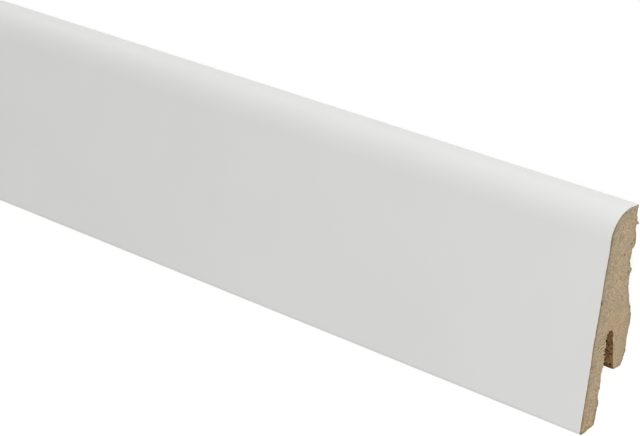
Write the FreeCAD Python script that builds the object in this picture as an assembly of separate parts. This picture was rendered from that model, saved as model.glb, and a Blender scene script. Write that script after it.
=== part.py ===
"""One length of moulded skirting board: an MDF board wrapped in white foil.

The board lies on its back on a level floor, with its white face up, as it would in a store.
X runs along the length. +Y points from the foot of the board to its rounded head, and +Z from
the wall side to the room side. The origin is the middle of the space that the board takes up,
at floor level. All sizes are in millimetres and all angles in degrees.

The section is worked out as the fitter sees it: rise is the height above the finished floor and
reach is the distance out from the wall.
"""
import FreeCAD
import Part

import math
import os

# Overall sizes
length = 2400.0
height = 58.0
depth = 19.0

# The white face, which leans back to the wall, its round head, the slope of the top edge down
# to the room, and the toe at the floor
face_lean_angle = 9.3
head_radius = 8.5
top_slope_angle = 5.0
least_top_flat = 0.5
toe_radius = 1.0
toe_undercut_angle = 10.0

# The lip that hangs in front of the cable space, measured square to the face, foil included
lip_thickness = 5.8

# The leg behind the clip slot: its foot, its heel, its taper and the land that meets the wall
leg_foot_rise = 14.4
heel_radius = 3.0
leg_taper_angle = 11.0
leg_land_rise = 26.0
leg_land_width = 2.6

# The clip slot, open at the bottom: one wall is the back of the lip, and the other leans to it
slot_mouth_width = 4.7
slot_wall_angle = 4.8
slot_top_rise = 26.1

# The hollow milled in the back, between the leg and the land along the top edge
hollow_depth = 1.7
hollow_lower_radius = 14.0
hollow_upper_radius = 4.5
top_land_width = 10.9

# The foil, which turns in under the toe and ends just short of the wall on the top edge
foil_thickness = 0.3
foil_turn_in = 2.0
foil_wall_gap = 0.6

# Directions are degrees above level, where level points out from the wall
quarter_turn = math.degrees(math.pi / 2)
level_out = 0
straight_up = quarter_turn
to_wall = 2 * quarter_turn
straight_down = 3 * quarter_turn


def at(rise, reach):
    """The point of the section at the left-hand end of the board."""
    return FreeCAD.Vector(-length / 2, rise - height / 2, reach)


def step(start, direction, distance):
    """The section point that lies a distance from start in a direction."""
    turn = math.radians(direction)
    return (start[0] + distance * math.sin(turn), start[1] + distance * math.cos(turn))


def meet(start_a, direction_a, start_b, direction_b):
    """The section point where two straight lines cross."""
    a = math.radians(direction_a)
    b = math.radians(direction_b)
    gap_rise = start_b[0] - start_a[0]
    gap_reach = start_b[1] - start_a[1]
    along = (gap_rise * math.cos(b) - gap_reach * math.sin(b)) / math.sin(a - b)
    return step(start_a, direction_a, along)


def shorter_turn(first, last):
    """The turn from one direction to another, the shorter way round."""
    return (last - first + 2 * quarter_turn) % (4 * quarter_turn) - 2 * quarter_turn


def line(start, end):
    """A straight edge of the section."""
    return Part.LineSegment(at(*start), at(*end)).toShape()


def arc(centre, radius, first, last):
    """A round edge of the section, from the direction first to the direction last."""
    swing = shorter_turn(first, last)
    ends = [step(centre, first + part * swing, radius) for part in (0, 0.5, 1)]
    return Part.Arc(*[at(*point) for point in ends]).toShape()


# The way that each surface looks, out of the board, or the way that it runs
face_looks = level_out + face_lean_angle
face_runs = straight_up + face_lean_angle
top_looks = straight_up - top_slope_angle
top_runs = to_wall - top_slope_angle
underside_looks = straight_down - toe_undercut_angle
underside_runs = to_wall - toe_undercut_angle
slot_wall_runs = straight_up - slot_wall_angle
leg_back_looks = to_wall + leg_taper_angle
leg_back_runs = straight_down + leg_taper_angle

# Centres of the toe and of the round head, which is as large as the top edge leaves room for
toe_centre = (toe_radius, depth - toe_radius)
face_foot = step(toe_centre, face_looks, toe_radius)
top_back_edge = (height, foil_wall_gap)
face_top = meet(face_foot, face_runs, top_back_edge, top_runs)
head_tangent = math.tan(math.radians(shorter_turn(face_looks, top_looks) / 2))
head_room = (math.dist(face_top, top_back_edge) - least_top_flat) / head_tangent
head_round = min(head_radius, head_room)
head_top = step(face_top, top_runs, head_round * head_tangent)
head_centre = step(head_top, top_looks, -head_round)


def wrapped_side(inset):
    """Edges of the wrapped surface, from under the toe to the top edge, and its two ends.

    An inset of nothing is the outside of the foil, and an inset of its thickness is the board.
    """
    toe_start = step(toe_centre, underside_looks, toe_radius - inset)
    toe_end = step(toe_centre, face_looks, toe_radius - inset)
    head_start = step(head_centre, face_looks, head_round - inset)
    head_end = step(head_centre, top_looks, head_round - inset)
    first = step(toe_start, underside_runs, foil_turn_in)
    last = meet(head_end, top_runs, top_back_edge, straight_up)
    edges = [
        line(first, toe_start),
        arc(toe_centre, toe_radius - inset, underside_looks, face_looks),
        line(toe_end, head_start),
        arc(head_centre, head_round - inset, face_looks, top_looks),
        line(head_end, last),
    ]
    return edges, first, last


def back_of_hollow(land_edge, radius, way):
    """The rise where one end of the hollow is at full depth: its round end starts at a land."""
    return land_edge + way * math.sqrt(hollow_depth * (2 * radius - hollow_depth))


def hollow_end(land_edge, radius, way):
    """The round end of the hollow, from the floor of the hollow to the land."""
    centre = (back_of_hollow(land_edge, radius, way), hollow_depth - radius)
    swing = math.degrees(math.acos((radius - hollow_depth) / radius))
    return arc(centre, radius, level_out, level_out - way * swing)


def rounded_corner(corner, runs_in, runs_out, radius):
    """Start, centre and end of an arc that rounds a corner between two straight surfaces."""
    turn = shorter_turn(runs_in, runs_out)
    back = radius * math.tan(math.radians(abs(turn)) / 2)
    start = step(corner, runs_in, -back)
    end = step(corner, runs_out, back)
    centre = step(start, runs_in + math.copysign(quarter_turn, turn), radius)
    return start, centre, end


def clip_slot():
    """Edges of the slot from its mouth at the leg, round its end, to the back of the lip."""
    lip_mouth = meet(lip_back_foot, face_runs, (leg_foot_rise, 0.0), level_out)
    leg_mouth = step(lip_mouth, to_wall, slot_mouth_width)
    point = meet(lip_mouth, face_runs, leg_mouth, slot_wall_runs)
    middle = (face_runs + slot_wall_runs) / 2
    half = math.radians((face_runs - slot_wall_runs) / 2)
    down_from_point = (point[0] - slot_top_rise) / (math.sin(math.radians(middle)) - math.sin(half))
    centre = step(point, middle, -down_from_point)
    radius = down_from_point * math.sin(half)
    rear_top = step(centre, slot_wall_runs + quarter_turn, radius)
    front_top = step(centre, face_runs - quarter_turn, radius)
    edges = [
        line(leg_mouth, rear_top),
        arc(centre, radius, slot_wall_runs + quarter_turn, face_runs - quarter_turn),
        line(front_top, lip_back_foot),
    ]
    return edges, leg_mouth


# The back of the lip runs parallel to the face, down to the underside of the toe
core_toe_start = step(toe_centre, underside_looks, toe_radius - foil_thickness)
lip_back_line = step(face_foot, face_looks, -lip_thickness)
lip_back_foot = meet(lip_back_line, face_runs, core_toe_start, underside_runs)


def board_outline():
    """Edges of the MDF board, round its whole section."""
    outer, turn_in_end, top_end = wrapped_side(foil_thickness)
    slot, leg_mouth = clip_slot()
    heel_corner = meet((leg_land_rise, 0.0), leg_back_runs, (leg_foot_rise, 0.0), level_out)
    heel_start, heel_centre, heel_end = rounded_corner(
        heel_corner, leg_back_runs, level_out, heel_radius
    )
    land_top = leg_land_rise + leg_land_width
    top_land_foot = height - top_land_width
    hollow_foot = back_of_hollow(land_top, hollow_lower_radius, 1)
    hollow_head = back_of_hollow(top_land_foot, hollow_upper_radius, -1)
    top_back_corner = meet(top_end, top_runs, (height, 0.0), straight_up)
    return [
        *outer,
        line(top_end, top_back_corner),
        line(top_back_corner, (top_land_foot, 0.0)),
        hollow_end(top_land_foot, hollow_upper_radius, -1),
        line((hollow_head, hollow_depth), (hollow_foot, hollow_depth)),
        hollow_end(land_top, hollow_lower_radius, 1),
        line((land_top, 0.0), (leg_land_rise, 0.0)),
        line((leg_land_rise, 0.0), heel_start),
        arc(heel_centre, heel_radius, leg_back_looks, straight_down),
        line(heel_end, leg_mouth),
        *slot,
        line(lip_back_foot, turn_in_end),
    ]


def foil_outline():
    """Edges of the foil: its outside, its inside and its two cut ends."""
    outside, outside_first, outside_last = wrapped_side(0.0)
    inside, inside_first, inside_last = wrapped_side(foil_thickness)
    return [
        *outside,
        line(outside_last, inside_last),
        *inside,
        line(inside_first, outside_first),
    ]


def extruded(edges):
    """The solid that a closed outline makes along the whole length of the board."""
    outline = Part.Wire(Part.__sortEdges__(edges))
    return Part.Face(outline).extrude(FreeCAD.Vector(length, 0, 0))


pieces = {
    "mdf_board": extruded(board_outline()),
    "white_foil": extruded(foil_outline()),
}

os.makedirs("parts", exist_ok=True)
for name, solid in pieces.items():
    solid.exportStep("parts/" + name + ".step")
    print(name, "valid", solid.isValid(), "volume", round(solid.Volume, 1))
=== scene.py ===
"""One length of white skirting board: a moulded MDF board in a white foil, sawn square.

X runs along the length, +Y from the foot of the board to its round head and +Z from the wall
side to the room side. The board lies on its back on a pale floor. A point of the section is
(rise above the finished floor, reach out from the wall) in millimetres until it enters a mesh.
"""

import math

import bmesh
import bpy
import numpy as np
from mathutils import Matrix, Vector


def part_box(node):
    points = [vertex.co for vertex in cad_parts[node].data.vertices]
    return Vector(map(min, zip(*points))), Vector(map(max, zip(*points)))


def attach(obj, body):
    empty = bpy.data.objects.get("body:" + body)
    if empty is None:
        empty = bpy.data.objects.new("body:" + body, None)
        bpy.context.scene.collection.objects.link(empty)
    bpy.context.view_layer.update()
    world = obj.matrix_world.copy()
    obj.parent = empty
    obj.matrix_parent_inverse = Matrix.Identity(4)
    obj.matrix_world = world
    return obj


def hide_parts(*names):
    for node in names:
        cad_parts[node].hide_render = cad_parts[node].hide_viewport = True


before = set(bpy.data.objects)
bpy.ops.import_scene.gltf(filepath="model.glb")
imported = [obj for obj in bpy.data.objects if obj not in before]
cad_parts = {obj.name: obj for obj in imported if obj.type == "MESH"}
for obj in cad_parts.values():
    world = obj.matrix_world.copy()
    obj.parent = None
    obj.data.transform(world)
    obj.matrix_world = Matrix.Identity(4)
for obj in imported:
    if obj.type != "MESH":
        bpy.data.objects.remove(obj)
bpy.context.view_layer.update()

# MDF board
# The real piece is one strip of medium density fibreboard, milled on all sides by a moulder and
# sawn to length. It carries the foil, and it has a slot in its back for the wall clips.
# Its sizes are in millimetres and degrees.
millimetre = 0.001
foil_low, foil_high = [np.array(corner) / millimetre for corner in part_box("white_foil")]
half_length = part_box("mdf_board")[1][0] / millimetre
height = foil_high[1] - foil_low[1]
depth = foil_high[2]

face_lean_angle = 9.3
head_radius = 8.5
top_slope_angle = 5.0
toe_radius = 1.0
toe_undercut_angle = 10.0
lip_thickness = 5.8
leg_foot_rise = 14.4
heel_radius = 3.0
leg_taper_angle = 11.0
leg_land_rise = 26.0
leg_land_width = 2.6
slot_mouth_width = 4.7
slot_wall_angle = 4.8
slot_top_rise = 26.1
hollow_depth = 1.7
hollow_lower_radius = 14.0
hollow_upper_radius = 4.5
top_land_width = 10.9
top_back_bevel = 0.15
foil_thickness = 0.3
foil_wall_gap = foil_low[2]
glue_line = 0.02

# The way that each straight edge runs and the way that it looks, in degrees above level
face_looks, face_runs = face_lean_angle, 90 + face_lean_angle
top_looks, top_runs = 90 - top_slope_angle, 180 - top_slope_angle
underside_looks, underside_runs = 270 - toe_undercut_angle, 180 - toe_undercut_angle
slot_wall_runs = 90 - slot_wall_angle
leg_back_looks, leg_back_runs = 180 + leg_taper_angle, 270 + leg_taper_angle


def heading(degrees):
    """A step of 1 mm as (rise, reach): sine and cosine of the angle above level."""
    turn = np.radians(degrees)
    return np.stack([np.sin(turn), np.cos(turn)], axis=-1)


def meet(start_a, direction_a, start_b, direction_b):
    """Where two straight lines cross: start plus a distance along each heading is one point."""
    both = np.stack([heading(direction_a), -heading(direction_b)], axis=-1)
    away = np.linalg.solve(both, np.subtract(start_b, start_a))
    return np.array(start_a) + away[0] * heading(direction_a)


def line(start, end):
    """A straight stretch: its length, and its point at each share of the way to the end."""
    way = np.subtract(end, start)
    return np.linalg.norm(way), lambda share: start + share[:, None] * way


def arc(centre, radius, first, last):
    """A round stretch: its length, and centre plus radius times the heading at each share."""
    swing = (last - first + 180) % 360 - 180
    length = abs(radius * math.radians(swing))
    return length, lambda share: centre + radius * heading(first + share * swing)


def sample(steps, *stretches):
    """Points along joined stretches: each gets steps by its length, evenly, and keeps its ends."""
    lengths = np.array([length for length, place in stretches])
    counts = np.maximum(np.round(lengths / lengths.sum() * steps), 1).astype(int)
    counts[lengths.argmax()] += steps - counts.sum()
    parts = [place(np.arange(n) / n) for n, (length, place) in zip(counts, stretches)]
    return np.concatenate([*parts, stretches[-1][1](np.ones(1))])


# The wrapped side: toe, leaning face, round head and top edge, all a foil's thickness in
toe_centre = np.array([toe_radius, depth - toe_radius])
face_foot = toe_centre + toe_radius * heading(face_looks)
top_back_edge = np.array([height, foil_wall_gap])
face_top = meet(face_foot, face_runs, top_back_edge, top_runs)
head_tangent = math.tan(math.radians(top_looks - face_looks) / 2)
head_top = face_top + head_radius * head_tangent * heading(top_runs)
head_centre = head_top - head_radius * heading(top_looks)
core_in = foil_thickness + glue_line
core_toe = toe_centre + (toe_radius - core_in) * heading(underside_looks)
core_face_foot = toe_centre + (toe_radius - core_in) * heading(face_looks)
core_face_top = head_centre + (head_radius - core_in) * heading(face_looks)
core_head_top = head_centre + (head_radius - core_in) * heading(top_looks)
top_corner = meet(core_head_top, top_runs, (height, 0.0), 90)
bevel_front = top_corner - top_back_bevel * heading(top_runs)
bevel_back = top_corner - (top_back_bevel, 0.0)

# The lip, the clip slot with its round end, and the leg behind it
lip_back_line = face_foot - lip_thickness * heading(face_looks)
lip_back_foot = meet(lip_back_line, face_runs, core_toe, underside_runs)
lip_mouth = meet(lip_back_foot, face_runs, (leg_foot_rise, 0.0), 0)
leg_mouth = lip_mouth - (0.0, slot_mouth_width)
slot_point = meet(lip_mouth, face_runs, leg_mouth, slot_wall_runs)
slot_middle = (face_runs + slot_wall_runs) / 2
slot_half = math.radians(face_runs - slot_wall_runs) / 2
slot_steepness = math.sin(math.radians(slot_middle)) - math.sin(slot_half)
down_from_point = (slot_point[0] - slot_top_rise) / slot_steepness
slot_centre = slot_point - down_from_point * heading(slot_middle)
slot_radius = down_from_point * math.sin(slot_half)
slot_front, slot_rear = face_runs - 90, slot_wall_runs + 90
shoulder_turn = 45
front_shoulder, rear_shoulder = slot_front + shoulder_turn, slot_rear - shoulder_turn
heel_corner = meet((leg_land_rise, 0.0), leg_back_runs, (leg_foot_rise, 0.0), 0)
heel_back = heel_radius * math.tan(math.radians(90 - leg_taper_angle) / 2)
heel_start = heel_corner - heel_back * heading(leg_back_runs)
heel_end = heel_corner + (0.0, heel_back)
heel_centre = heel_end + (heel_radius, 0.0)

# The hollow in the back: how far its round ends reach, and the angle that each swings through
land_top, land_foot = leg_land_rise + leg_land_width, height - top_land_width
lower_run = math.sqrt(hollow_depth * (2 * hollow_lower_radius - hollow_depth))
upper_run = math.sqrt(hollow_depth * (2 * hollow_upper_radius - hollow_depth))
lower_swing = math.degrees(math.acos(1 - hollow_depth / hollow_lower_radius))
upper_swing = math.degrees(math.acos(1 - hollow_depth / hollow_upper_radius))
lower_centre = np.array([land_top + lower_run, hollow_depth - hollow_lower_radius])
upper_centre = np.array([land_foot - upper_run, hollow_depth - hollow_upper_radius])

# The section is cut into three sheets, each between a left and a right side and a foot and a top
front_corner = slot_centre + slot_radius * heading(front_shoulder)
face_level = meet(core_face_foot, face_runs, front_corner, face_looks)
back_level = np.array([leg_land_rise, 0.0])
head_corner_looks = 50
toe_corner_looks = underside_looks + 55
body_steps, lip_steps, leg_steps = 128, 200, 60
front_steps, slot_steps, rear_steps = 24, 8, 22
body_left = sample(
    body_steps,
    line(face_level, core_face_top),
    arc(head_centre, head_radius - core_in, face_looks, head_corner_looks),
)
body_right = sample(
    body_steps,
    line(back_level, (land_top, 0.0)),
    arc(lower_centre, hollow_lower_radius, -lower_swing, 0),
    line((land_top + lower_run, hollow_depth), (land_foot - upper_run, hollow_depth)),
    arc(upper_centre, hollow_upper_radius, 0, upper_swing),
    line((land_foot, 0.0), bevel_back),
)
body_top = sample(
    front_steps + slot_steps + rear_steps,
    arc(head_centre, head_radius - core_in, head_corner_looks, top_looks),
    line(core_head_top, bevel_front),
    line(bevel_front, bevel_back),
)
slot_end = sample(slot_steps, arc(slot_centre, slot_radius, front_shoulder, rear_shoulder))
lip_left = sample(
    lip_steps,
    arc(toe_centre, toe_radius - core_in, toe_corner_looks, face_looks),
    line(core_face_foot, face_level),
)
lip_right = sample(
    lip_steps,
    line(lip_back_foot, slot_centre + slot_radius * heading(slot_front)),
    arc(slot_centre, slot_radius, slot_front, front_shoulder),
)
lip_foot = sample(
    front_steps,
    arc(toe_centre, toe_radius - core_in, toe_corner_looks, underside_looks),
    line(core_toe, lip_back_foot),
)
leg_left = sample(
    leg_steps,
    line(leg_mouth, slot_centre + slot_radius * heading(slot_rear)),
    arc(slot_centre, slot_radius, slot_rear, rear_shoulder),
)
leg_right = sample(leg_steps, line(heel_start, back_level))
leg_foot = sample(
    rear_steps,
    line(leg_mouth, heel_end),
    arc(heel_centre, heel_radius, 270, leg_back_looks),
)

# The outline of the board from the face all round its back, and how ragged the saw leaves each
# stretch, in millimetres: the foil holds the wrapped side, and the end of the slot tears most
around = {
    "face": (body_left, 0.0),
    "head": (body_top, 0.0),
    "back": (body_right[::-1], 0.045),
    "leg back": (leg_right[::-1], 0.045),
    "leg foot": (leg_foot[::-1], 0.03),
    "leg front": (leg_left, 0.05),
    "slot end": (slot_end[::-1], 0.1),
    "lip back": (lip_right[::-1], 0.06),
    "toe": (lip_foot[::-1], 0.02),
    "lip face": (lip_left, 0.0),
}
counts = [len(curve) - 1 for curve, ragged in around.values()]
cuts = np.cumsum([0, *counts])
outline = np.concatenate([curve[:-1] for curve, ragged in around.values()])
raggedness = np.repeat([ragged for curve, ragged in around.values()], counts)
stretch = np.repeat(list(around), counts)
glued = np.isin(stretch, ["face", "head", "lip face"])
run = np.roll(outline, -1, axis=0) - np.roll(outline, 1, axis=0)
outward = np.stack([run[:, 1], -run[:, 0]], axis=-1) / np.linalg.norm(run, axis=1)[:, None]
outward *= np.sign((outward * (outline - outline.mean(axis=0))).sum())
steps_round = np.linalg.norm(np.roll(outline, -1, axis=0) - outline, axis=1)
around_length = np.concatenate([[0.0], np.cumsum(steps_round)])

# At a sawn end the front wall of the slot is furry, from its top down to near the leg's foot
fur_height, fur_shortest, fur_longest = 0.24, 0.5, 1.3
fur_above_leg_foot = 1.5
fur_foot = leg_foot_rise + fur_above_leg_foot
furry = fur_height * ((stretch == "lip back") & (outline[:, 0] > fur_foot))

# Burrs and chips of the sawn right-hand end: rise, reach, how far they stand out, half width
right_burrs = [
    (57.0, 0.0, -0.25, 0.5),
    (56.1, 0.0, -0.2, 0.6),
    (54.9, 0.0, -0.25, 0.5),
    (51.0, 0.0, -0.42, 1.0),
    (46.6, 0.5, 0.1, 0.3),
    (45.8, 1.1, -0.3, 0.4),
    (44.4, 1.6, 0.18, 0.5),
    (43.0, 1.7, -0.3, 0.5),
    (40.3, 1.7, 0.95, 0.75),
    (37.0, 1.7, -0.28, 1.6),
    (33.4, 1.5, 0.12, 0.8),
    (30.05, 0.7, 0.32, 0.45),
    (28.6, 0.0, -0.25, 0.4),
    (26.6, 0.0, -0.2, 0.6),
    (25.0, 0.1, -0.2, 1.2),
    (21.6, 0.8, -0.35, 1.5),
    (18.5, 1.4, 0.12, 0.4),
    (17.5, 1.9, -0.42, 0.5),
    (16.9, 1.8, -0.45, 0.5),
    (16.1, 2.6, -0.35, 0.8),
    (25.3, 7.2, 0.35, 0.45),
    (26.1, 8.2, 0.4, 0.5),
    (25.4, 9.2, -0.15, 0.35),
    (23.6, 9.4, -0.65, 0.5),
    (22.5, 9.6, -0.45, 0.5),
    (21.4, 9.7, -0.5, 0.4),
    (19.8, 9.9, -0.65, 0.45),
    (18.5, 10.2, 0.3, 0.25),
    (17.6, 10.4, -0.35, 0.45),
    (14.1, 11.0, -0.3, 1.0),
    (10.8, 11.5, 0.3, 0.4),
    (9.6, 11.7, -0.12, 0.4),
    (6.6, 12.2, 0.7, 1.0),
    (4.2, 12.6, 0.3, 1.2),
    (1.8, 13.1, 0.3, 1.4),
    (0.6, 15.5, 0.2, 1.8),
]
left_burrs = [
    (52.0, 0.0, -0.3, 0.9),
    (44.0, 1.5, 0.3, 0.6),
    (36.0, 1.7, -0.3, 0.8),
    (22.0, 9.7, 0.4, 0.5),
]
# Fibres that stand out along the length, and pits torn in the sawn ends: how far, half width
right_fibres = [(52.72, 0.0, 0.85, 0.33), (40.4, 1.4, 0.2, 0.4)]
left_fibres = [(50.0, 0.1, 0.4, 0.3)]
right_pits = [
    (34.5, 13.1, 0.35, 0.3),
    (47.3, 1.7, 0.3, 0.26),
    (45.2, 4.3, 0.25, 0.24),
    (34.0, 4.4, 0.15, 0.24),
]
left_pits = [(40.0, 6.0, 0.2, 0.3), (20.0, 13.0, 0.2, 0.25)]
# Where the saw wandered at the glued edge, foil and all: how much deeper, half width
right_wander = [
    (57.9, 0.6, -0.33, 1.7),
    (55.7, 7.2, -0.12, 0.8),
    (47.5, 11.0, -0.12, 3.0),
    (28.0, 14.2, 0.08, 2.0),
    (23.0, 15.0, 0.18, 2.5),
]
left_wander = [(38.0, 12.0, 0.1, 3.0)]
# Dark specks in the right-hand end, of bark and, where they lie in the pits, painted shade, and two
# broad faint darker patches near the top edge: how dark, radius
right_specks_and_pit_shade = [
    (34.45, 12.8, 1.0, 0.7),
    (48.3, 0.6, 1.0, 0.45),
    (47.45, 1.75, 0.8, 0.45),
    (45.3, 4.4, 1.0, 0.52),
    (45.95, 10.75, 0.5, 0.55),
    (44.6, 10.7, 0.5, 0.45),
    (42.3, 2.1, 0.8, 0.4),
    (40.5, 11.8, 0.6, 0.45),
    (40.1, 2.3, 0.8, 0.4),
    (31.4, 9.0, 0.75, 0.4),
    (33.9, 4.4, 0.65, 0.4),
    (52.95, 5.6, 0.7, 0.45),
    (43.1, 8.8, 0.6, 0.45),
    (56.9, 1.3, 0.2, 1.4),
    (56.9, 3.2, 0.16, 1.3),
    (56.75, 4.85, 1.0, 0.5),
    (56.4, 6.1, 0.7, 0.45),
    (48.6, 3.4, 0.25, 0.4),
]
# Where the saw scored the lip beside the slot, and where it left the leg smooth, on both ends:
# how much, half width
scored_places = [(21.8, 11.4, 1.0, 2.4)]
smooth_places = [(20.0, 4.5, 0.35, 5.5), (28.0, 6.5, 0.35, 4.0)]


def bell(distance, width):
    """The bell curve: the exponential of less the square of the distance over the width."""
    return np.exp(-((distance / width) ** 2))


def ramp(value, start, length):
    """Nothing up to the start, one from a length past it, and straight in between."""
    return np.clip((value - start) / length, 0.0, 1.0)


def hills(places, spots):
    """Sum of round hills, each a height times the bell curve of the distance over its width."""
    total = np.zeros(places.shape[:-1])
    for rise, reach, height_here, width in spots:
        total += height_here * bell(np.linalg.norm(places - (rise, reach), axis=-1), width)
    return total


def ripples(places, shortest, longest, seed):
    """Smooth seeded noise of about one unit: a sum of sine waves of random way, length and phase,
    the longer ones higher."""
    waves = 48
    draw = np.random.default_rng(seed)
    lengths = np.exp(draw.uniform(math.log(shortest), math.log(longest), waves))
    ways = draw.normal(size=(waves, places.shape[-1]))
    ways *= (2 * math.pi / lengths / np.linalg.norm(ways, axis=1))[:, None]
    heights = np.sin(places @ ways.T + draw.uniform(0, 2 * math.pi, waves))
    return heights @ np.sqrt(2 * lengths / lengths.sum())


# How far the sawn ends lie inside the box, which leaves room for torn fibres, how round the saw
# leaves the glued edge, and how deep along the length its burrs reach
saw_allowance = 0.8
rim_round = 0.07
burr_reach = 0.9
# The ripples that it leaves round the outline, read on a circle of this radius, and on the ends:
# their shortest and longest, on the ends with their depths, and what is added to a seed
noise_radius = 40.0
rim_shortest, rim_longest = 0.6, 6.0
fine_depth, fine_shortest, fine_longest = 0.035, 0.5, 3.0
broad_depth, broad_shortest, broad_longest = 0.03, 3.0, 16.0
fur_seed_step, broad_seed_step = 50, 1


def torn(burrs, seed):
    """How far the saw moves each point of the outline: ripples, burrs and fur out or in, and the
    glued edge in by its rounding. The ripples are read round a circle, by the length so far."""
    turn = around_length[:-1] / noise_radius
    places = noise_radius * np.stack([np.cos(turn), np.sin(turn)], axis=-1)
    ragged_out = raggedness * ripples(places, rim_shortest, rim_longest, seed)
    out = ragged_out + hills(outline, burrs) * (raggedness > 0)
    out += furry * ripples(places, fur_shortest, fur_longest, seed + fur_seed_step)
    return (out - rim_round * (raggedness == 0))[:, None] * outward


def cut_plane(places, fibres, pits, seed):
    """How far the sawn face lies inside the box: an allowance, plus fine and broad ripples, less
    the fibres that stand out, plus the pits."""
    fine = ripples(places, fine_shortest, fine_longest, seed)
    broad = ripples(places, broad_shortest, broad_longest, seed + broad_seed_step)
    inside = saw_allowance + fine_depth * fine + broad_depth * broad
    return np.maximum(inside - hills(places, fibres) + hills(places, pits), 0.0)


# Dark line beside the glued edge of a sawn end, partly glue line and partly painted shade of the
# rim:
# its strength and width, then what changes it at the foot of the head, over the head, and above the
# lip's foot, and the rise and width of each
glue_shade, glue_shade_width = 0.86, 0.55
head_foot_wider, head_foot_rise, head_foot_width = 0.4, 51.5, 3.0
head_weaker, head_side_rise, head_side_width = 0.58, 53.5, 3.5
broad_shade, broad_shade_width = 0.09, 2.5
lip_darker, lip_foot_rise, lip_foot_width = 0.09, 12.0, 4.0
# Painted shade and compressed fibre beside the bare edge, and what changes it at the toe
bare_shade, bare_shade_fall = 0.6, 0.2
toe_darker, toe_wider, toe_rise, toe_width = 0.3, 0.2, 5.0, 4.0
faint_shade, faint_shade_width = 0.13, 0.85


def rim_line_and_shade(places, from_glue, from_bare):
    """How dark the rim of a sawn end is at a point, partly glue line and compressed fibre and
    partly
    painted shade, whichever is darker: from the glued edge a bell curve, wider just below the head
    and weaker over it, or a faint broad one, and from the bare edge a sharp fall with a faint bell
    curve added."""
    rise = places[..., 0]
    head_foot = bell(rise - head_foot_rise, head_foot_width)
    over_head = ramp(rise, head_side_rise, head_side_width)
    over_lip = ramp(rise, lip_foot_rise, lip_foot_width)
    at_toe = bell(rise - toe_rise, toe_width)
    glue_width = glue_shade_width + head_foot_wider * head_foot
    glue = (glue_shade - head_weaker * over_head) * bell(from_glue, glue_width)
    broad = (broad_shade + lip_darker * over_lip) * bell(from_glue, broad_shade_width)
    bare_fall = bare_shade_fall + toe_wider * at_toe
    bare = (bare_shade + toe_darker * at_toe) * np.exp(-from_bare / bare_fall)
    bare += faint_shade * bell(from_bare, faint_shade_width)
    return np.maximum(np.maximum(glue, broad), bare)


# How much dust of the wrap lies up the head and along the top edge, from which rise, over what
# length, and how far in from the glued edge
head_dust_share, head_dust_rise, head_dust_length = 0.45, 54.5, 2.0
top_dust_share, top_dust_rise, top_dust_length = 0.55, 56.6, 0.8
dust_width = 0.35


def head_dust(places, from_glue):
    """How grey a point is with dust of the wrap: a bell curve of the distance from the glued edge,
    which grows up the head and once more along the top edge."""
    rise = places[..., 0]
    up_head = head_dust_share * ramp(rise, head_dust_rise, head_dust_length)
    along_top = top_dust_share * ramp(rise, top_dust_rise, top_dust_length)
    return (up_head + along_top) * bell(from_glue, dust_width)


# How warm the fibre is at the toe, from which rise down, over what length, and elsewhere
toe_warmth, toe_warm_rise, toe_warm_length = 0.6, 9.0, 8.0
scored_warmth, smooth_warmth = 0.3, 0.7


def warmth(places):
    """How warm the fibre is: more and more down the toe, and where it is scored or smooth."""
    down_toe = toe_warmth * ramp(-places[..., 0], -toe_warm_rise, toe_warm_length)
    scored, smooth = hills(places, scored_places), hills(places, smooth_places)
    return down_toe + scored_warmth * scored + smooth_warmth * smooth


def sawn_values(places, from_glue, from_bare):
    """All that the finish of a sawn end reads at its points."""
    return {
        "edge": rim_line_and_shade(places, from_glue, from_bare),
        "dusted": head_dust(places, from_glue),
        "scored": hills(places, scored_places),
        "smooth": hills(places, smooth_places),
        "warm": warmth(places),
    }


def patch(foot, top, left, right):
    """Coons patch: the two ruled surfaces between opposite sides added up, less the bilinear one
    through the four corners. The grid runs up the left side and across the foot."""
    across = np.linspace(0, 1, len(foot))[None, :, None]
    up = np.linspace(0, 1, len(left))[:, None, None]
    upward = (1 - up) * foot[None] + up * top[None]
    sideways = (1 - across) * left[:, None] + across * right[:, None]
    low = (1 - across) * foot[0] + across * foot[-1]
    high = (1 - across) * top[0] + across * top[-1]
    return upward + sideways - (1 - up) * low - up * high


def sheets(rim):
    """The three sheets that fill a sawn end, between the sides that its rim is made of."""
    sides = [np.take(rim, np.arange(a, b + 1), axis=0, mode="wrap") for a, b in zip(cuts, cuts[1:])]
    face_side, head, back, leg_back, foot, leg_front, slot_top, lip_back, toe, lip_face = sides
    front = np.linspace(face_side[0], slot_top[-1], front_steps + 1)
    rear = np.linspace(slot_top[0], leg_back[0], rear_steps + 1)
    over_slot = np.concatenate([front[:-1], slot_top[::-1], rear[1:]])
    return [
        patch(over_slot, head, face_side, back[::-1]),
        patch(toe[::-1], front, lip_face, lip_back[::-1]),
        patch(foot[::-1], rear, leg_front, leg_back[::-1]),
    ]


def stations(reach, first_step, growth, widest):
    """Depths from a sawn face: each step is the last one times the growth, then all are even."""
    steps = first_step * growth ** np.arange(math.log(widest / first_step) / math.log(growth))
    near = np.cumsum(steps)
    even = np.linspace(near[-1], reach, int((reach - near[-1]) / widest) + 2)
    return np.concatenate([[0.0], near, even[1:]])


def in_place(along, section):
    """Points of the model in metres: the length, the rise less half the height, and the reach."""
    shape = np.broadcast_shapes(np.shape(along), np.shape(section)[:-1])
    parts = (along, section[..., 0], section[..., 1])
    along, rise, reach = [np.broadcast_to(part, shape) for part in parts]
    return np.stack([along, rise - height / 2, reach], axis=-1) * millimetre


def quads(rows, columns, first, closed):
    """Corner numbers of a grid's faces, from its first point on, joined round if it is closed."""
    row = np.arange(rows - 1)[:, None] * columns
    column = np.arange(columns if closed else columns - 1)[None]
    after = (column + 1) % columns
    corners = [row + column, row + after, row + columns + after, row + columns + column]
    return first + np.stack(corners, axis=-1).reshape(-1, 4)


# Grids join where their points are closer than this, and edges sharper than this stay sharp
join_within, sharp_angle = 0.001, 32


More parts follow.
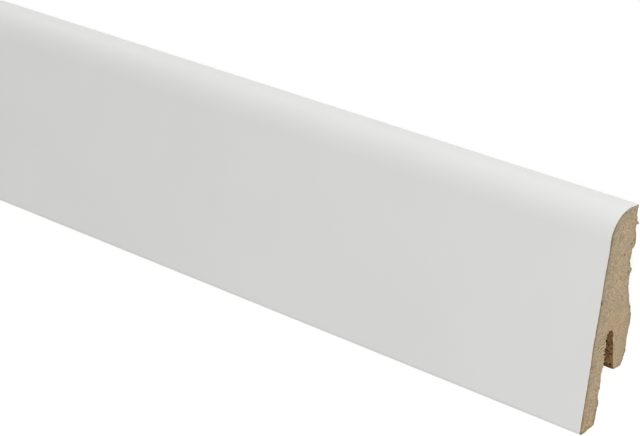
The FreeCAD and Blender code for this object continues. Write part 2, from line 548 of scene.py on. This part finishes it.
def add_piece(name, grids):
    """Puts grids into one closed mesh. A grid has points, a flat chart with a place for each corner
    of its faces, values with a number for each point, and flags with one for all its faces."""
    points = np.concatenate([grid["points"].reshape(-1, 3) for grid in grids])
    firsts = np.cumsum([0] + [grid["points"].size // 3 for grid in grids])
    faces = [
        quads(*grid["points"].shape[:2], first, grid.get("closed", False))
        for grid, first in zip(grids, firsts)
    ]
    mesh = bpy.data.meshes.new(name)
    mesh.from_pydata(points.tolist(), [], np.concatenate(faces).tolist())
    charts = [grid["chart"] for grid in grids]
    corners = [(chart[:-1, :-1], chart[:-1, 1:], chart[1:, 1:], chart[1:, :-1]) for chart in charts]
    flat_places = np.concatenate([np.stack(four, axis=2).ravel() for four in corners])
    mesh.uv_layers.new(name="OFBake").uv.foreach_set("vector", flat_places)
    for label in grids[0]["values"]:
        layer = mesh.attributes.new(label, "FLOAT", "POINT")
        numbers = np.concatenate([grid["values"][label].ravel() for grid in grids])
        layer.data.foreach_set("value", numbers.astype(np.float32))
    for label in grids[0]["flags"]:
        layer = mesh.attributes.new(label, "FLOAT", "FACE")
        flags = [grid["flags"][label] for grid in grids]
        numbers = np.repeat(flags, [len(part) for part in faces])
        layer.data.foreach_set("value", numbers.astype(np.float32))
    build = bmesh.new()
    build.from_mesh(mesh)
    bmesh.ops.remove_doubles(build, verts=build.verts, dist=join_within * millimetre)
    bmesh.ops.recalc_face_normals(build, faces=build.faces)
    build.to_mesh(mesh)
    build.free()
    mesh.polygons.foreach_set("use_smooth", np.ones(len(mesh.polygons), bool))
    mesh.set_sharp_from_angle(angle=math.radians(sharp_angle))
    piece = bpy.data.objects.new(name, mesh)
    bpy.context.scene.collection.objects.link(piece)
    return piece


# The long sides, which the saw tears near both ends. An end goes by the sign of its side, and has
# its burrs, fibres and pits, and the seed of its ripples
sawn_reach = half_length - saw_allowance
first_station, station_growth, widest_station = 0.5, 1.4, 110.0
depths = stations(sawn_reach, first_station, station_growth, widest_station)
along = np.concatenate([depths - sawn_reach, (sawn_reach - depths)[-2::-1]])
ends = {
    -1: (left_burrs, left_fibres, left_pits + left_wander, 41),
    1: (right_burrs, right_fibres, right_pits + right_wander, 7),
}
wall = np.tile(outline, (len(along), 1, 1))
for side, (burrs, fibres, pits, seed) in ends.items():
    wall += bell(sawn_reach - side * along, burr_reach)[:, None, None] * torn(burrs, seed)
wall[..., 1] = np.maximum(wall[..., 1], 0.0)
wall_along = np.tile(along[:, None], (1, len(outline)))

# The flat chart of the finish: the two sawn ends, large, under a band for the long sides
chart_gap = 0.01
chart_scale = (1.0 - 2 * chart_gap) / height
end_band = depth * chart_scale + chart_gap
side_foot = chart_gap + 2 * end_band
along_share = (np.linspace(0, 1, len(along)) + (along - along[0]) / (along[-1] - along[0])) / 2
chart_across = chart_gap + (1 - 2 * chart_gap) * along_share
chart_up = side_foot + (1 - chart_gap - side_foot) * (around_length / around_length[-1])
side_chart = np.stack(np.meshgrid(chart_across, chart_up, indexing="ij"), axis=-1)

# What the finish of the long sides reads: where they are slot wall, and how much painted shade
# darkens that wall at the edge of the leg and at the saw cut. Their first and last rows are rims of
# the sawn ends
slot_below_leg, slot_behind_lip = 0.3, 0.5
slot_stretch = np.isin(stretch, ["leg front", "slot end", "lip back"])
behind_lip = outline[:, 1] < lip_mouth[1] - slot_behind_lip
in_slot = slot_stretch & ((outline[:, 0] > leg_foot_rise - slot_below_leg) | behind_lip)
mouth_shade_fall, rim_shade = 0.5, 0.6
mouth_shade = np.exp(-np.linalg.norm(outline - leg_mouth, axis=1) / mouth_shade_fall)
side_values = {
    "slot": np.tile(in_slot.astype(float), (len(along), 1)),
    "mouth": np.tile(mouth_shade, (len(along), 1)),
}
side_values["mouth"][[0, -1]] = rim_shade
# A rim point lies on an edge of its own kind, and counts as far off from one of the other kind
bare_edge = ~glued & ~in_slot
far_off = 99.0
rim_values = sawn_values(outline, far_off * ~glued, far_off * ~bare_edge)
for label, numbers in rim_values.items():
    side_values[label] = np.zeros(wall_along.shape)
    side_values[label][[0, -1]] = numbers

end_grids = []
for side, (burrs, fibres, pits, seed) in ends.items():
    row = 0 if side < 0 else -1
    wall_along[row] = side * (half_length - cut_plane(wall[row], fibres, pits, seed))
    for sheet in sheets(wall[row]):
        apart = np.linalg.norm(sheet[:, :, None] - wall[row], axis=-1)
        from_glue, from_bare = apart[..., glued].min(axis=-1), apart[..., bare_edge].min(axis=-1)
        sheet_along = side * (half_length - cut_plane(sheet, fibres, pits, seed))
        end_grids.append(
            {
                "points": in_place(sheet_along, sheet),
                "chart": chart_gap + sheet * chart_scale + (0.0, (side > 0) * end_band),
                "flags": {"sawn": 1.0},
                "values": {
                    "slot": np.zeros(sheet.shape[:2]),
                    "mouth": np.full(sheet.shape[:2], rim_shade),
                    **sawn_values(sheet, from_glue, from_bare),
                },
            }
        )
side_grid = {
    "points": in_place(wall_along, wall),
    "closed": True,
    "chart": side_chart,
    "flags": {"sawn": 0.0},
    "values": side_values,
}
board = add_piece("moulded_board", [side_grid, *end_grids])


def add_node(tree, kind, inputs=None, **settings):
    """A shader node with its options set, and each input set to a number or joined to a socket."""
    node = tree.nodes.new(kind)
    for name, value in settings.items():
        setattr(node, name, value)
    for name, value in (inputs or {}).items():
        if isinstance(value, bpy.types.NodeSocket):
            tree.links.new(value, node.inputs[name])
        else:
            node.inputs[name].default_value = value
    return node


def linear(*levels):
    """Linear light of a colour given as 0 to 255 levels on a screen, by the sRGB curve."""
    shares = np.array(levels) / 255
    return (*np.where(shares > 0.04045, ((shares + 0.055) / 1.055) ** 2.4, shares / 12.92), 1.0)


def surface(name):
    """A new material: its node tree, its Principled shader and its Object coordinates."""
    material = bpy.data.materials.new(name)
    material.use_nodes = True
    tree = material.node_tree
    place = add_node(tree, "ShaderNodeTexCoord").outputs["Object"]
    return material, tree, tree.nodes["Principled BSDF"], place


def mottling():
    """Node group of noise with patches of a size in millimetres, stretched between two values."""
    group = bpy.data.node_groups.new("Mottling", "ShaderNodeTree")
    sockets = group.interface
    sockets.new_socket("Place", in_out="INPUT", socket_type="NodeSocketVector")
    for label, value in (("Size", 1.0), ("Detail", 2.0), ("Low", 0.0), ("High", 1.0)):
        socket = sockets.new_socket(label, in_out="INPUT", socket_type="NodeSocketFloat")
        socket.default_value = value
    sockets.new_socket("Value", in_out="OUTPUT", socket_type="NodeSocketFloat")
    given = group.nodes.new("NodeGroupInput").outputs
    per_metre = {0: 1 / millimetre, 1: given["Size"]}
    scale = add_node(group, "ShaderNodeMath", per_metre, operation="DIVIDE").outputs[0]
    patches = {"Vector": given["Place"], "Scale": scale, "Detail": given["Detail"]}
    noise = add_node(group, "ShaderNodeTexNoise", patches).outputs["Fac"]
    # Nearly all of the noise lies between these two
    noise_low, noise_high = 0.3, 0.7
    stretched = {
        "Value": noise,
        "From Min": noise_low,
        "From Max": noise_high,
        "To Min": given["Low"],
        "To Max": given["High"],
    }
    spread = add_node(group, "ShaderNodeMapRange", stretched)
    add_node(group, "NodeGroupOutput", {"Value": spread.outputs["Result"]})
    return group


mottling_group = mottling()


def mottled(tree, place, size, low=0.0, high=1.0, detail=2.0):
    """The value of a mottling group placed in a material."""
    inputs = {"Place": place, "Size": size, "Detail": detail, "Low": low, "High": high}
    return add_node(tree, "ShaderNodeGroup", inputs, node_tree=mottling_group).outputs["Value"]


def blend(tree, share, first, second, way="MIX"):
    """A colour between two others, or their product, by a share."""
    mix = {0: share, 6: first, 7: second}
    return add_node(tree, "ShaderNodeMix", mix, data_type="RGBA", blend_type=way).outputs[2]


def between(tree, share, first, second):
    """A number between two others, by a share."""
    return add_node(tree, "ShaderNodeMix", {0: share, 2: first, 3: second}).outputs[0]


def times(tree, first, second):
    """The product of two numbers."""
    return add_node(tree, "ShaderNodeMath", {0: first, 1: second}, operation="MULTIPLY").outputs[0]


def lit(tree, colour, brightness):
    """A colour times a brightness."""
    parts = {"Red": brightness, "Green": brightness, "Blue": brightness}
    grey = add_node(tree, "ShaderNodeCombineColor", parts).outputs["Color"]
    return blend(tree, 1.0, colour, grey, "MULTIPLY")


def read(tree, label):
    """The number that each point of the piece's mesh holds under a label."""
    return add_node(tree, "ShaderNodeAttribute", attribute_name=label).outputs["Fac"]


def saw_marks(tree, place):
    """Brightness of fine marks a saw pitch apart, slanting up and back, where the lip is scored."""
    saw_pitch, saw_slant = 0.85, -21
    darkest, brightest = 0.35, 1.6
    turned = {"Vector": place, "Rotation": (math.radians(saw_slant), 0.0, 0.0)}
    slanted = add_node(tree, "ShaderNodeMapping", turned).outputs["Vector"]
    # The bands of a wave texture of scale 1 lie a tenth of pi apart
    waves = {
        "Vector": slanted,
        "Scale": math.pi / 10 / (saw_pitch * millimetre),
        "Distortion": 4.0,
        "Detail Scale": 2.5,
    }
    band = add_node(tree, "ShaderNodeTexWave", waves, bands_direction="Y").outputs["Fac"]
    marks = {"Value": band, "To Min": darkest, "To Max": brightest}
    mark = add_node(tree, "ShaderNodeMapRange", marks).outputs["Result"]
    broken = mottled(tree, place, size=1.2, low=0.3, high=1.3)
    return between(tree, times(tree, read(tree, "scored"), broken), 1.0, mark)


def specked(tree, place, colour, specks):
    """A colour with round dark specks, of bark and, in the pits, painted shade, measured end on, so
    that pits in the end don't matter.
    """
    bark_and_pit_shade = linear(64, 54, 42)
    end_on = Vector((0.1, 1.0, 1.0))
    seen_flat = {0: place, 1: end_on}
    flat = add_node(tree, "ShaderNodeVectorMath", seen_flat, operation="MULTIPLY").outputs[0]
    for rise, reach, share, radius in specks:
        centre = Vector(in_place(sawn_reach, np.array([rise, reach]))) * end_on
        ways = {0: flat, 1: centre}
        away = add_node(tree, "ShaderNodeVectorMath", ways, operation="DISTANCE").outputs["Value"]
        fall = {"Value": away, "From Max": radius * millimetre, "To Min": share, "To Max": 0.0}
        spot = add_node(tree, "ShaderNodeMapRange", fall).outputs["Result"]
        colour = blend(tree, spot, colour, bark_and_pit_shade)
    return colour


def sawn_fibre(tree, place, rim_darkening):
    """Colour of a sawn end: brown fibre in three tones, warm in places, with fine clumps that fade
    where it is calm or smooth, dark along its edges with glue line, compressed fibre and painted
    shade, grey with dust of the wrap over the head, and specked with bark and with painted shade in
    its pits."""
    brown, olive, golden = linear(195, 171, 146), linear(181, 169, 143), linear(198, 174, 135)
    warm, rim_line_shade_colour, wrap_dust = linear(193, 164, 121), linear(122, 110, 98), linear(196, 187, 178)
    calm_brightness, smooth_brightness = 0.98, 1.03
    fibre = blend(tree, mottled(tree, place, size=3.0), brown, olive)
    fibre = blend(tree, mottled(tree, place, size=0.8, high=0.6, detail=1.0), fibre, golden)
    fibre = blend(tree, read(tree, "warm"), fibre, warm)
    clumps = mottled(tree, place, size=0.5, low=0.6, high=1.3, detail=1.0)
    clumps = between(tree, mottled(tree, place, size=5.0, high=0.75), clumps, calm_brightness)
    clumps = between(tree, read(tree, "smooth"), clumps, smooth_brightness)
    fibre = lit(tree, fibre, times(tree, clumps, saw_marks(tree, place)))
    # Glue line, compressed fibre and painted shade of the rim
    fibre = blend(tree, rim_darkening, fibre, rim_line_shade_colour)
    fibre = blend(tree, read(tree, "dusted"), fibre, wrap_dust)
    # Dark specks of bark, and painted shade in the pits
    return specked(tree, place, fibre, right_specks_and_pit_shade)


def milled_fibre(tree, place):
    """Colour of the moulded sides: darker and even, with faint streaks drawn out by the cutter."""
    light_fibre, dark_fibre = linear(178, 151, 117), linear(164, 138, 104)
    milled = blend(tree, mottled(tree, place, size=2.0), light_fibre, dark_fibre)
    lengthwise = {"Vector": place, "Scale": (0.02, 1.0, 1.0)}
    drawn_out = add_node(tree, "ShaderNodeMapping", lengthwise).outputs["Vector"]
    streaks = mottled(tree, drawn_out, size=0.6, low=0.9, high=1.08)
    flecks = mottled(tree, place, size=0.4, low=0.92, high=1.08)
    return lit(tree, milled, times(tree, streaks, flecks))


def slot_wall(tree, place, near_mouth):
    """Colour of the slot's walls, which the cutter tore: pale tufts over dark hollows, partly
    darker torn fibre and partly painted shade between the tufts, and darkest at the mouth, where it
    is painted shade."""
    hollows_and_shade, tufts, shaded_mouth_brown = linear(74, 46, 22), linear(184, 142, 96), linear(72, 46, 24)
    torn_fibre = blend(tree, mottled(tree, place, size=0.6), hollows_and_shade, tufts)
    return blend(tree, near_mouth, torn_fibre, shaded_mouth_brown)


board_material, tree, shader, place = surface("moulded_fibreboard")
# The slot wall carries painted shade in its hollows and at its mouth
slotted = slot_wall(tree, place, read(tree, "mouth"))
moulded = blend(tree, read(tree, "slot"), milled_fibre(tree, place), slotted)
sawn = sawn_fibre(tree, place, read(tree, "edge"))
board_colour = blend(tree, read(tree, "sawn"), moulded, sawn)
tree.links.new(board_colour, shader.inputs["Base Color"])
shader.inputs["Roughness"].default_value = 0.9
shader.inputs["Specular IOR Level"].default_value = 0.2
fuzz = mottled(tree, place, size=0.35, detail=3.0)
raised = {"Height": fuzz, "Distance": 0.06 * millimetre, "Strength": 0.8}
relief = add_node(tree, "ShaderNodeBump", raised)
tree.links.new(relief.outputs["Normal"], shader.inputs["Normal"])
board.data.materials.append(board_material)
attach(board, "root")
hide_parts("mdf_board")

# White foil
# The real piece is a sheet of matt white foil, 0.3 mm thick, glued round the toe, the face, the
# head and the top edge, and sawn off with the board, so that its cut edge shows at each end.
foil_turn_in = 2.0
foil_steps = 300
foil_proud = 0.04


def wrapped(inset):
    """The wrapped side of the section, from under the toe to the top edge, an inset inwards."""
    toe_start = toe_centre + (toe_radius - inset) * heading(underside_looks)
    toe_end = toe_centre + (toe_radius - inset) * heading(face_looks)
    head_start = head_centre + (head_radius - inset) * heading(face_looks)
    head_end = head_centre + (head_radius - inset) * heading(top_looks)
    return sample(
        foil_steps,
        line(toe_start + foil_turn_in * heading(underside_runs), toe_start),
        arc(toe_centre, toe_radius - inset, underside_looks, face_looks),
        line(toe_end, head_start),
        arc(head_centre, head_radius - inset, face_looks, top_looks),
        line(head_end, meet(head_end, top_runs, top_back_edge, 90)),
    )


outside, inside = wrapped(0.0), wrapped(foil_thickness)
skin = np.concatenate([outside, inside[::-1]])
skin_along = np.tile(along[:, None], (1, len(skin)))
# The nicks in its cut edge, and its two chips at each end: how deep, half width
nick_depth, nick_shortest, nick_longest = 0.02, 0.5, 5.0
skin_chips = [(27.2, 14.4, 0.25, 0.3), (35.0, 13.1, 0.08, 0.5)]
# Each end goes by the sign of its side, and has the seed of its nicks and where the saw wandered
foil_ends = {-1: (19, left_wander), 1: (23, right_wander)}
cut_along = {}
for side, (seed, wander) in foil_ends.items():
    nicks = nick_depth * ripples(outside, nick_shortest, nick_longest, seed)
    chips = hills(outside, skin_chips + wander)
    cut_along[side] = side * (half_length - saw_allowance + foil_proud - nicks - chips)
    skin_along[0 if side < 0 else -1] = np.concatenate([cut_along[side], cut_along[side][::-1]])

# Saw dust clings beside the cut. Glue and dust stain the inner side of the cut edge; at the toe the
# whole cut edge is darkened, partly stain and partly painted shade of the rounded toe
dust_at_cut, dust_beside_cut = 1.0, 0.2
dusty = np.zeros(skin_along.shape)
dusty[[0, -1]], dusty[[1, -2]] = dust_at_cut, dust_beside_cut
toe_darkening_rise, toe_darkening_length, inner_stain = 0.4, 0.8, 0.6
toe_stain_and_shade = 1.0 - ramp(outside[:, 0], toe_darkening_rise, toe_darkening_length)
inner_stain_and_toe_shade = np.maximum(toe_stain_and_shade, inner_stain)
stain_and_toe_shade = np.zeros(skin_along.shape)
stain_and_toe_shade[[0, -1]] = np.concatenate([toe_stain_and_shade, inner_stain_and_toe_shade[::-1]])

# The flat chart: the outside, the inside and, above them, the cut edge at each end
outside_foot, outside_top = 0.01, 0.66
inside_foot, inside_top, inside_end = 0.68, 0.9, 0.92
strip_feet, strip_height = {-1: 0.935, 1: 0.965}, 0.02
outside_up = np.linspace(outside_foot, outside_top, foil_steps + 1)
inside_up = np.linspace(inside_foot, inside_top, foil_steps + 1)
around_foil = np.concatenate([outside_up, inside_up, [inside_end]])
foil_chart = np.stack(np.meshgrid(chart_across, around_foil, indexing="ij"), axis=-1)
foil_grids = [
    {
        "points": in_place(skin_along, skin),
        "closed": True,
        "chart": foil_chart,
        "flags": {"cut": 0.0},
        "values": {"dusty": dusty, "stain_and_toe_shade": stain_and_toe_shade},
    }
]
strip_across = np.linspace(chart_gap, 1 - chart_gap, foil_steps + 1)
strip_dusty = np.full((2, foil_steps + 1), dust_at_cut)
strip_stain_and_toe_shade = np.stack([toe_stain_and_shade, inner_stain_and_toe_shade])
for side, strip_foot in strip_feet.items():
    strip_up = [strip_foot, strip_foot + strip_height]
    foil_grids.append(
        {
            "points": in_place(cut_along[side], np.stack([outside, inside])),
            "chart": np.stack(np.meshgrid(strip_across, strip_up), axis=-1),
            "flags": {"cut": 1.0},
            "values": {"dusty": strip_dusty, "stain_and_toe_shade": strip_stain_and_toe_shade},
        }
    )
foil = add_piece("foil_wrap", foil_grids)

foil_material, tree, shader, place = surface("matt_white_foil")
cool_white, pale_white = linear(232, 232, 230), linear(234, 234, 232)
saw_dust = linear(238, 231, 220)
# The glue stain also serves as painted shade on the cut edge at the rounded toe
cream_cut, glue_stain_and_toe_shade = linear(255, 248, 232), linear(150, 136, 120)
face_colour = blend(tree, mottled(tree, place, size=30.0), cool_white, pale_white)
face_colour = blend(tree, read(tree, "dusty"), face_colour, saw_dust)
cut_colour = blend(tree, read(tree, "stain_and_toe_shade"), cream_cut, glue_stain_and_toe_shade)
foil_colour = blend(tree, read(tree, "cut"), face_colour, cut_colour)
tree.links.new(foil_colour, shader.inputs["Base Color"])
tree.links.new(mottled(tree, place, size=4.0, low=0.42, high=0.5), shader.inputs["Roughness"])
peel = mottled(tree, place, size=1.1)
raised = {"Height": peel, "Distance": 0.004 * millimetre, "Strength": 0.6}
relief = add_node(tree, "ShaderNodeBump", raised)
tree.links.new(relief.outputs["Normal"], shader.inputs["Normal"])
foil.data.materials.append(foil_material)
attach(foil, "root")
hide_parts("white_foil")

# Floor and light
# A pale seamless floor in a bright studio tent, white to the camera. Three far soft lights reach
# the whole length alike, and a soft lamp close by lifts the sawn end.
floor_reach = 12.0
floor_drop = 0.05 * millimetre
floor_sides = ((-1, -1), (1, -1), (1, 1), (-1, 1))
floor_corners = [(x * floor_reach, y * floor_reach, -floor_drop) for x, y in floor_sides]
floor_mesh = bpy.data.meshes.new("floor")
floor_mesh.from_pydata(floor_corners, [], [(0, 1, 2, 3)])
floor = bpy.data.objects.new("floor", floor_mesh)
bpy.context.scene.collection.objects.link(floor)


def plain_grey(level):
    """A grey that reflects a level of the light, as a colour."""
    return (level, level, level, 1.0)


# To the camera and in reflections the floor glows almost white, and light that it sends back to
# the board comes from a plain pale grey
floor_grey, shadow_grey, floor_glow = 0.8, 0.3, 0.83
floor_material = bpy.data.materials.new("pale_floor")
floor_material.use_nodes = True
tree = floor_material.node_tree
tree.nodes.remove(tree.nodes["Principled BSDF"])
path = add_node(tree, "ShaderNodeLightPath").outputs
mirrored = {0: path["Is Glossy Ray"], 1: path["Is Transmission Ray"]}
mirrored = add_node(tree, "ShaderNodeMath", mirrored, operation="MAXIMUM").outputs[0]
seen = {0: path["Is Camera Ray"], 1: mirrored}
seen = add_node(tree, "ShaderNodeMath", seen, operation="MAXIMUM").outputs[0]
plain = add_node(tree, "ShaderNodeBsdfDiffuse", {"Color": plain_grey(floor_grey)})
shadowed = add_node(tree, "ShaderNodeBsdfDiffuse", {"Color": plain_grey(shadow_grey)})
glow = add_node(tree, "ShaderNodeEmission", {"Color": plain_grey(1.0), "Strength": floor_glow})
white = add_node(tree, "ShaderNodeAddShader", {0: shadowed.outputs[0], 1: glow.outputs[0]})
either = add_node(tree, "ShaderNodeMixShader", {0: seen, 1: plain.outputs[0], 2: white.outputs[0]})
tree.links.new(either.outputs[0], tree.nodes["Material Output"].inputs["Surface"])
floor.data.materials.append(floor_material)

# The tent is white to the camera, and lights the board with this share of that
tent_light = 0.3
world = bpy.data.worlds.new("studio_tent")
bpy.context.scene.world = world
world.use_nodes = True
tree = world.node_tree
camera_ray = add_node(tree, "ShaderNodeLightPath").outputs["Is Camera Ray"]
tent = {0: camera_ray, 1: 1.0 - tent_light, 2: tent_light}
strength = add_node(tree, "ShaderNodeMath", tent, operation="MULTIPLY_ADD").outputs[0]
tree.links.new(strength, tree.nodes["Background"].inputs["Strength"])
tree.nodes["Background"].inputs["Color"].default_value = plain_grey(1.0)


def add_light(kind, name, strength, source, target=(0.0, 0.0, 0.0)):
    """A soft light that shines from a source to a target: a far one, or a lamp close by."""
    light = bpy.data.lights.new(name, kind)
    light.energy = strength
    holder = bpy.data.objects.new(name, light)
    holder.location = source
    holder.rotation_euler = (Vector(source) - Vector(target)).to_track_quat("Z", "Y").to_euler()
    bpy.context.scene.collection.objects.link(holder)
    return light


# Strength, spread in degrees and the place that each far light shines from
far_lights = {
    "low_light": (0.86, 16.0, (0.8, 2.2, 0.35)),
    "foot_light": (1.1, 35.0, (0.5, -1.5, 1.2)),
    "head_light": (0.53, 40.0, (-0.6, 1.5, 0.9)),
}
for name, (strength, spread, source) in far_lights.items():
    add_light("SUN", name, strength, source).angle = math.radians(spread)
lamp_strength, lamp_place, lamp_target = 2.24, (1.75, 0.35, 0.6), (1.15, 0.0, 0.0)
add_light("AREA", "end_lamp", lamp_strength, lamp_place, lamp_target).size = 0.4

# Camera
# It stands beyond the right-hand end on the head's side and looks down on the face, so that the
# sawn end shows. Its place and its turns are metres and degrees.
camera = bpy.data.objects.new("camera", bpy.data.cameras.new("camera"))
camera.data.lens = 132.656
camera.data.sensor_width = 36.0
camera.data.clip_start = 0.01
camera.location = (1.518811 - saw_allowance * millimetre, 0.240124, 0.451933)
camera.rotation_euler = [math.radians(angle) for angle in (-20.866635, 43.714198, 1.015251)]
bpy.context.scene.collection.objects.link(camera)
bpy.context.scene.camera = camera
bpy.context.scene.view_settings.view_transform = "Standard"
